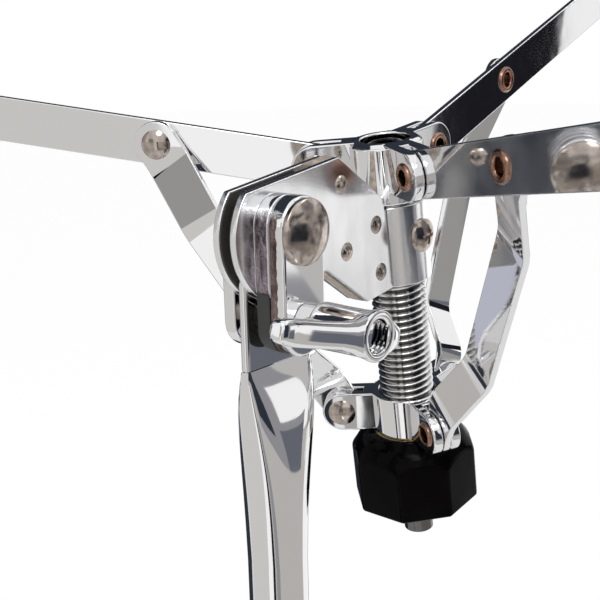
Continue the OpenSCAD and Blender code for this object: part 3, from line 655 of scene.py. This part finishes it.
def thread_mesh(profile, pitch, bottom, top, steps, capped):
    """Helical skin about Z with this outline for each turn, cut level at both ends."""
    mesh_data = bmesh.new()
    lead = pitch * MM
    turns = int((top - bottom) / lead) + 2 * SPARE_TURNS
    start = bottom - SPARE_TURNS * lead
    rows = []
    for k in range((turns + 1) * steps + 1):
        a = 2 * math.pi * k / steps
        rise = start + lead * k / steps
        rows.append([mesh_data.verts.new((r * MM * math.cos(a), r * MM * math.sin(a), rise + z * MM))
                     for z, r in profile])
    for k in range(turns * steps):
        for j in range(len(profile)):
            if j + 1 < len(profile):
                above, above_next = rows[k][j + 1], rows[k + 1][j + 1]
            else:
                above, above_next = rows[k + steps][0], rows[k + steps + 1][0]
            mesh_data.faces.new((rows[k][j], rows[k + 1][j], above_next, above))
    loose = [vert for vert in mesh_data.verts if not vert.link_faces]
    bmesh.ops.delete(mesh_data, geom=loose, context="VERTS")
    bmesh.ops.remove_doubles(mesh_data, verts=mesh_data.verts, dist=TURNS_MERGED)
    cut(mesh_data, top, keep_above=False, capped=capped)
    cut(mesh_data, bottom, keep_above=True, capped=capped)
    return mesh_data


def make_threaded_pole():
    """The pole: its thread between a plain top and a plain end."""
    whole = thread_mesh(POLE_THREAD, POLE_PITCH, THREAD_BOTTOM, THREAD_TOP, POLE_STEPS, capped=True)
    scratch = bpy.data.meshes.new("Pole part")
    for height, above in ((THREAD_TOP, True), (THREAD_BOTTOM, False)):
        part = frame_copy("threaded_pole")
        bmesh.ops.transform(part, matrix=basket_space.inverted(), verts=part.verts)
        cut(part, height, above)
        part.to_mesh(scratch)
        part.free()
        whole.from_mesh(scratch)
    bpy.data.meshes.remove(scratch)
    bmesh.ops.transform(whole, matrix=basket_space, verts=whole.verts)
    shade(stand_in(whole, "threaded_pole"), sharp_angle=50)


# Lever nut: a cast barrel with a flared mouth, a paddle on one side and a short lobe on the other

PADDLE_RISE = 15
PADDLE_DEPTH = 19.8
PADDLE_SQUARENESS = 3.4
BARREL_STEPS = 64
# Radius and distance from the strap, in millimetres
BARREL = (
    (3.42, 0.05), (4.6, 0.05), (4.9, 0.35), (4.9, 4.3), (5.0, 4.7), (5.45, 4.95), (5.65, 5.4), (5.7, 6.5),
    (5.6, 12), (5.6, 17), (5.75, 19), (6.05, 20.3), (6.15, 21.0), (6.05, 21.6), (5.7, 21.95), (4.9, 22),
    (4.3, 21.85), (4.05, 21.4),
)
# Distance from the barrel's axis, half height, half thickness and drop, in millimetres
PADDLE = (
    (3, 5.1, 2.1, 0.2), (5.5, 4.6, 2.0, 0.3), (8, 3.7, 1.8, 0.45), (12, 3.15, 1.6, 0.5),
    (20, 3.05, 1.55, 0.5), (26, 3.05, 1.7, 0.4), (29.5, 2.95, 2.1, 0.3), (32, 2.75, 2.3, 0.2),
    (33.4, 2.3, 2.0, 0.1), (34, 1.4, 1.2, 0.1),
)
LOBE = (
    (3, 4.9, 2.1, 0.2), (5.5, 4.2, 2.0, 0.2), (7.5, 3.2, 1.7, 0.2), (9, 2.6, 1.4, 0.2), (9.8, 1.7, 0.9, 0.2),
)


def turned(mesh_data, profile, steps):
    """Skin turned about Z from radius and height."""
    rings = [[(r * MM * math.cos(a), r * MM * math.sin(a), z * MM)
              for a in (2 * math.pi * i / steps for i in range(steps))] for r, z in profile]
    loft(mesh_data, rings)


def wing(mesh_data, stations, side, rise):
    """Cast paddle running out from the barrel along X, tapering through its stations."""
    turn = Matrix.Rotation(math.radians(rise), 4, "Z")
    rings = []
    for out, tall, thick, drop in stations:
        rings.append([turn @ Vector((side * out * MM, (y - drop) * MM, (PADDLE_DEPTH + x) * MM))
                      for x, y in rounded_outline(thick, tall, PADDLE_SQUARENESS, quarter=8)])
    loops = loft(mesh_data, rings)
    mesh_data.faces.new(loops[0])
    mesh_data.faces.new(list(reversed(loops[-1])))


def make_lever_nut():
    whole = bmesh.new()
    turned(whole, BARREL, BARREL_STEPS)
    wing(whole, PADDLE, side=-1, rise=-PADDLE_RISE)
    wing(whole, LOBE, side=1, rise=-PADDLE_RISE)
    scratch = bpy.data.meshes.new("Nut part")
    mouth = BARREL[-1][1] * MM
    bore = thread_mesh(NUT_THREAD, NUT_PITCH, BARREL[0][1] * MM, mouth, NUT_STEPS, capped=False)
    bore.to_mesh(scratch)
    bore.free()
    whole.from_mesh(scratch)
    bpy.data.meshes.remove(scratch)
    bmesh.ops.recalc_face_normals(whole, faces=whole.faces)
    face_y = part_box("strap_outer")[0].y
    axis_z = Vector(joints["lever_turn"]["pos_m"]).z
    place = Matrix.Translation((pivot.x, face_y, axis_z)) @ Matrix.Rotation(math.radians(90), 4, "X")
    bmesh.ops.transform(whole, matrix=place, verts=whole.verts)
    shade(stand_in(whole, "lever_nut"), sharp_angle=50)


make_upper_tube()
make_threaded_pole()
make_lever_nut()
finish_pins("upper_hub_pins", [joints["arm_hinge_%d" % a] for a in ARMS])
finish_pins("lower_hub_pins", [joints["strut_hinge_%d" % a] for a in ARMS])

# Edge radius of each piece in millimetres, and the facets across it. The last group keeps its edges
EDGES = {
    "lower_tube": (0.3, 2), "tube_plug": (0.4, 2), "spreader": (0.7, 3), "height_clamp": (1.2, 4),
    "clamp_bush": (0.3, 2), "clamp_wing_bolt": (0.5, 3), "leg_collar": (0.8, 3),
    "collar_wing_screw": (0.5, 3), "memory_lock": (0.8, 3), "memory_lock_screw": (0.3, 2),
    "strap_back": (0.6, 3), "strap_spacer": (0.1, 1), "clamp_bolt": (0.2, 2), "pivot_rivet": (0.25, 2),
    "upper_hub": (0.6, 3), "lower_hub": (0.6, 3), "knob": (0.9, 4), "knob_insert": (0.2, 2),
}
ARM_EDGES = {"leg": (0.5, 3), "stay": (0.4, 3), "foot": (1.0, 4), "arm": (0.35, 3), "grip": (1.4, 4)}
for a in ARMS:
    for name, edges in ARM_EDGES.items():
        EDGES["%s_%d" % (name, a)] = edges
for node in ("spreader_pins", "leg_pins", "tilter_core", "sheet_rivets", "friction_pads", "sleeve_screw"):
    EDGES[node] = (0, 0)
for a in ARMS:
    for name in ("stay_rivet", "strut_rivet", "arm_eyelet"):
        EDGES["%s_%d" % (name, a)] = (0, 0)
for node, (width, segments) in EDGES.items():
    finish_node(node, width, segments)
for a in ARMS:
    finish_strip("strut_%d" % a, bend=2.5, width=0.35, segments=3)
finish_node("strap_outer", width=0.9, segments=4, finish="punched_plate")
finish_node("strap_inner", width=0.35, segments=3, finish="raw_plate")
finish_node("tilter_sheet", width=0.35, segments=3, finish="sheet")


# Studio

FLOOR_RADIUS = 9
FLOOR_SIDES = 96
FLOOR_WHITE = 1.12
FLOOR_SHARE = 0.7
PAPER = (0.86, 0.86, 0.855)
HEAD = Vector((0.03, 0, 0.57))
CARD_DISTANCE = 0.6
CARD_LOWEST = 0.01
CARD_FACET = 4
SOFT_LIGHT = 0.75


def white_where_seen(tree, shader, output, strength, share):
    """Mixes plain white over a shader for what the camera sees."""
    path = add(tree, "ShaderNodeLightPath")
    seen = add(tree, "ShaderNodeMath", operation="MAXIMUM")
    join(tree, path, "Is Camera Ray", seen, 0)
    join(tree, path, "Is Transmission Ray", seen, 1)
    part = add(tree, "ShaderNodeMath", operation="MULTIPLY")
    part.inputs[1].default_value = share
    join(tree, seen, "Value", part, 0)
    white = add(tree, "ShaderNodeEmission", Strength=strength)
    mix = add(tree, "ShaderNodeMixShader")
    join(tree, part, "Value", mix, 0)
    join(tree, shader, output, mix, 1)
    join(tree, white, "Emission", mix, 2)
    return mix


def make_floor():
    mesh_data = bmesh.new()
    bmesh.ops.create_circle(mesh_data, cap_ends=True, segments=FLOOR_SIDES, radius=FLOOR_RADIUS)
    mesh = bpy.data.meshes.new("Floor")
    mesh_data.to_mesh(mesh)
    mesh_data.free()
    floor = bpy.data.objects.new("Floor", mesh)
    bpy.context.scene.collection.objects.link(floor)
    material, tree, shader = start_material("Paper floor", PAPER, metallic=0, roughness=0.9)
    mix = white_where_seen(tree, shader, "BSDF", FLOOR_WHITE, FLOOR_SHARE)
    out = next(n for n in tree.nodes if n.type == "OUTPUT_MATERIAL")
    join(tree, mix, "Shader", out, "Surface")
    mesh.materials.append(material)


def make_card(name, turn, rise, light, near=1.0):
    """A curved card for reflections. Turn and rise are its limits in degrees, seen from the stand's head."""
    first, last = turn
    away = CARD_DISTANCE * near
    low, high = (HEAD.z + away * math.tan(math.radians(angle)) for angle in rise)
    low = max(low, CARD_LOWEST)
    mesh_data = bmesh.new()
    start = Vector((away, 0, 0))
    start.rotate(Matrix.Rotation(math.radians(first), 3, "Z"))
    feet = [mesh_data.verts.new((HEAD.x + start.x, HEAD.y + start.y, z)) for z in (low, high)]
    edge = mesh_data.edges.new(feet)
    steps = max(1, int((last - first) / CARD_FACET))
    bmesh.ops.spin(mesh_data, geom=[*feet, edge], cent=HEAD, axis=(0, 0, 1), steps=steps,
                   angle=math.radians(last - first), use_merge=False, use_duplicate=False)
    mesh = bpy.data.meshes.new(name)
    mesh_data.to_mesh(mesh)
    mesh_data.free()
    card = bpy.data.objects.new(name, mesh)
    bpy.context.scene.collection.objects.link(card)
    material = bpy.data.materials.new(name)
    material.use_nodes = True
    tree = material.node_tree
    tree.nodes.clear()
    out = add(tree, "ShaderNodeOutputMaterial")
    glow = add(tree, "ShaderNodeEmission", Strength=1.0)
    glow.inputs["Color"].default_value = (*light, 1)
    join(tree, glow, "Emission", out, "Surface")
    mesh.materials.append(material)
    card.visible_camera = False
    card.visible_diffuse = False
    card.visible_shadow = False


WARM_GREY = (0.66, 0.645, 0.62)
MID_GREY = (0.52, 0.50, 0.475)
COOL_GREY = (0.30, 0.30, 0.32)
DIM = (0.34, 0.335, 0.325)
SLATE = (0.14, 0.15, 0.175)
BLACK = (0.012, 0.012, 0.015)
BLUE_BLACK = (0.03, 0.036, 0.048)
WHITE = (1.04, 1.03, 1.02)
BRIGHT = (1.3, 1.3, 1.31)
SKY = (0.62, 0.68, 0.8)
LAVENDER = (0.52, 0.53, 0.62)

# Name, limits of turn and of rise, light, and for some the share of the usual distance
CARDS = [
    ("Left wall", (114, 186), (-43, 2), WARM_GREY),
    ("Left window", (186, 202), (-43, 2), WHITE),
    ("Left upper wall", (156, 186), (2, 18), DIM),
    ("Narrow flag", (202, 210), (-43, 6), BLACK),
    ("Warm wall", (210, 246), (-43, 4), MID_GREY),
    ("Tube shade", (214, 227), (-43, -27), COOL_GREY, 0.97),
    ("Low wall", (246, 330), (-43, -25), MID_GREY),
    ("Cool wall", (246, 308), (-25, 2), COOL_GREY),
    ("Dark card", (254, 294), (-19, 28), BLUE_BLACK, 0.93),
    ("Plate card", (308, 319), (-13, 0), WHITE),
    ("Low plate window", (319, 326), (-18, 0), WHITE),
    ("Strap card", (304, 319), (-15.5, -13), COOL_GREY),
    ("Far strut card", (326, 333), (-20, -4.5), DIM),
    ("Far strut shade", (333, 337), (-20, -4.5), SLATE),
    ("Paddle card", (304, 319), (-25, -15.5), SLATE),
    ("Low plate card", (319, 326), (-25, -18), MID_GREY),
    ("Upper plate card", (294, 330), (0, 42), COOL_GREY),
    ("Right window", (337, 384), (-20, -5), BRIGHT),
    ("Low right window", (330, 384), (-43, -20), WHITE),
    ("Right flag", (328, 347), (-4.5, 2), BLACK),
    ("Upper right flag", (328, 338), (2, 16), BLACK),
    ("Back flag", (24, 106), (-43, 48), BLUE_BLACK),
    ("Upper back flag", (14, 139), (2, 62), BLUE_BLACK, 1.1),
    ("Facet card", (98, 137), (1, 32), MID_GREY, 0.96),
    ("Patch card", (66, 90), (-27, -14), LAVENDER, 0.97),
    ("Ceiling strip", (60, 132), (35, 38.5), SKY, 1.04),
]


def make_lamp(name, place, size, power):
    data = bpy.data.lights.new(name, "AREA")
    data.shape = "DISK"
    data.size = size
    data.energy = power
    lamp = bpy.data.objects.new(name, data)
    bpy.context.scene.collection.objects.link(lamp)
    place = Vector(place)
    turn = (HEAD - place).to_track_quat("-Z", "Y").to_matrix().to_4x4()
    lamp.matrix_world = Matrix.Translation(place) @ turn


def make_world():
    """White for the camera, for mirrored rays and through glass, and softer as light on matt faces."""
    world = bpy.data.worlds.new("White studio")
    bpy.context.scene.world = world
    world.use_nodes = True
    tree = world.node_tree
    tree.nodes.clear()
    out = add(tree, "ShaderNodeOutputWorld")
    soft = add(tree, "ShaderNodeBackground", Strength=SOFT_LIGHT)
    white = add(tree, "ShaderNodeBackground", Strength=1.0)
    soft.inputs["Color"].default_value = (1, 1, 1, 1)
    white.inputs["Color"].default_value = (1, 1, 1, 1)
    path = add(tree, "ShaderNodeLightPath")
    seen = add(tree, "ShaderNodeMath", operation="MAXIMUM")
    clear = add(tree, "ShaderNodeMath", operation="MAXIMUM")
    join(tree, path, "Is Camera Ray", seen, 0)
    join(tree, path, "Is Glossy Ray", seen, 1)
    join(tree, seen, "Value", clear, 0)
    join(tree, path, "Is Transmission Ray", clear, 1)
    mix = add(tree, "ShaderNodeMixShader")
    join(tree, clear, "Value", mix, 0)
    join(tree, soft, "Background", mix, 1)
    join(tree, white, "Background", mix, 2)
    join(tree, mix, "Shader", out, "Surface")


make_camera()
make_floor()
for card in CARDS:
    make_card(*card)
make_lamp("Key lamp", (-0.9, -0.7, 1.9), size=0.8, power=8)
make_lamp("Fill lamp", (0.9, -0.8, 1.5), size=0.6, power=3)
make_world()
bpy.context.scene.view_settings.view_transform = "Standard"
